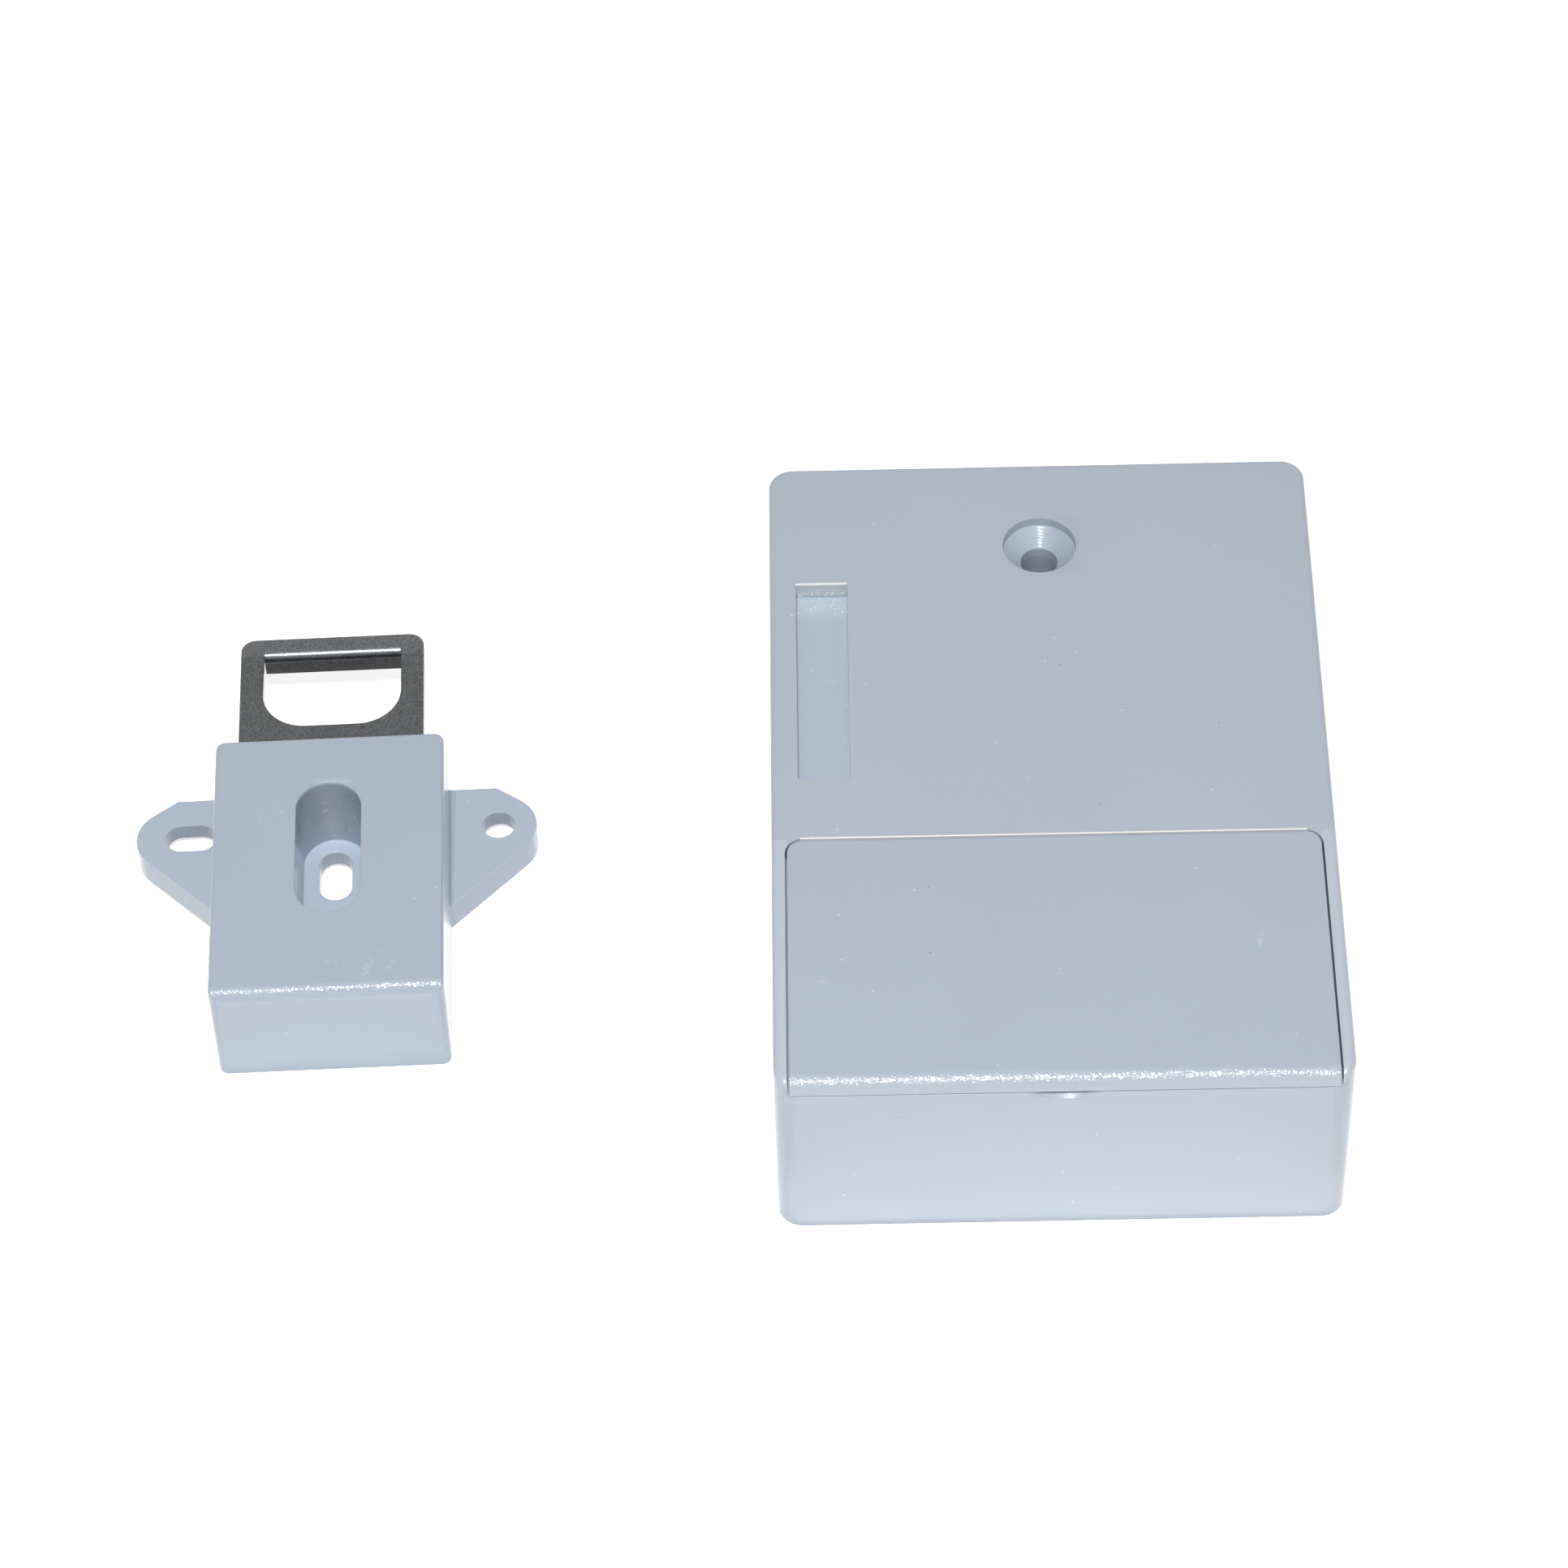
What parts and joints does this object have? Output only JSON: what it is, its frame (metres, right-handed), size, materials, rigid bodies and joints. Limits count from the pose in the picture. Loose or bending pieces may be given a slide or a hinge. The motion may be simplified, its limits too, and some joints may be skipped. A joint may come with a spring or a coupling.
{
  "type": "electronic cabinet lock",
  "caption": "Battery cabinet lock body with a slotted face, a hooked battery door and a sprung bolt, beside its block-shaped strike with a steel tongue.",
  "frame": {"origin": "middle of the lock body's back face, which lies on the cupboard door", "axes": "+X across the lock body, away from the side with the slot; +Y along it, from the battery door to the upper screw hole; +Z out of the cupboard door"},
  "size_m": [0.1486, 0.098, 0.028],
  "materials": {
    "housing_plastic": "satin moulded",
    "strike_steel": "satin dark steel",
    "zinc_screw": "bright zinc plating",
    "cell_jacket": "plain wrapper",
    "nickel_plate": "nickel plating",
    "lead_sleeve": "soft sleeve",
    "board_laminate": "solder mask",
    "antenna_copper": "copper",
    "black_plastic": "matt",
    "motor_can": "drawn can",
    "white_nylon": "satin",
    "zinc_sheet": "zinc plated sheet",
    "gearbox_brass": "plain brass",
    "shaft_steel": "ground",
    "bolt_zinc": "cast zinc, tumbled",
    "spring_wire": "spring wire"
  },
  "bodies": {
    "lock_body": {"front_housing": "housing_plastic", "back_cover": "housing_plastic", "cover_screws": "zinc_screw", "battery_cell_front": "cell_jacket", "battery_cell_middle": "cell_jacket", "battery_cell_rear": "cell_jacket", "contact_springs": "nickel_plate", "contact_plates": "nickel_plate", "battery_leads": "lead_sleeve", "main_board": "board_laminate", "board_screws": "zinc_screw", "antenna_coil": "antenna_copper", "control_chips": "black_plastic", "capacitor": "motor_can", "buzzer": "black_plastic", "wire_connectors": "white_nylon", "set_switch": "black_plastic", "mechanism_plate": "zinc_sheet", "plate_screws": "zinc_screw", "position_switch": "black_plastic", "latch_motor": "motor_can", "motor_gearbox": "gearbox_brass", "motor_clamp": "zinc_sheet", "clamp_screws": "zinc_screw", "motor_leads": "lead_sleeve", "ejector_springs": "spring_wire"},
    "battery_door": {"battery_door": "housing_plastic"},
    "set_button": {"set_button": "black_plastic"},
    "drive": {"motor_shaft": "shaft_steel", "drive_pinion": "white_nylon"},
    "latch_carriage": {"latch_carriage": "white_nylon", "bolt_spring": "spring_wire"},
    "latch_bolt": {"latch_bolt": "bolt_zinc"},
    "ejector": {"ejector": "housing_plastic"},
    "strike": {"strike_housing": "housing_plastic", "strike_plate": "strike_steel"}
  },
  "joints": [
    {"name": "battery_door_hinge", "type": "hinge", "parent": "lock_body", "child": "battery_door", "pos_m": [0, -0.0121, 0.028], "axis": [-1, 0, 0], "range_deg": [0, 60]},
    {"name": "ejector_slide", "type": "slide", "parent": "lock_body", "child": "ejector", "axis": [0, 0, -1], "range_m": [0, 0.014], "stiffness_N_per_m": 350, "springref_m": -0.006, "deforming": ["ejector_springs"]},
    {"name": "carriage_slide", "type": "slide", "parent": "lock_body", "child": "latch_carriage", "axis": [-1, 0, 0], "range_m": [0, 0.008]},
    {"name": "pinion_turn", "type": "hinge", "parent": "lock_body", "child": "drive", "pos_m": [0.017, 0.01335, 0.01855], "axis": [0, 1, 0], "range_deg": [0, 116]},
    {"name": "bolt_slide", "type": "slide", "parent": "latch_carriage", "child": "latch_bolt", "axis": [1, 0, 0], "range_m": [0, 0.008], "stiffness_N_per_m": 450, "springref_m": -0.006, "deforming": ["bolt_spring"]},
    {"name": "button_slide", "type": "slide", "parent": "lock_body", "child": "set_button", "axis": [0, 0, -1], "range_m": [0, 0.0005], "stiffness_N_per_m": 1200, "springref_m": -0.0005},
    {"name": "strike_slide", "type": "slide", "parent": "lock_body", "child": "strike", "axis": [0, 0, 1], "range_m": [0, 0.03]}
  ],
  "couplings": [
    {"joint": "pinion_turn", "follows": "carriage_slide", "rad_per_m": 250}
  ]
}
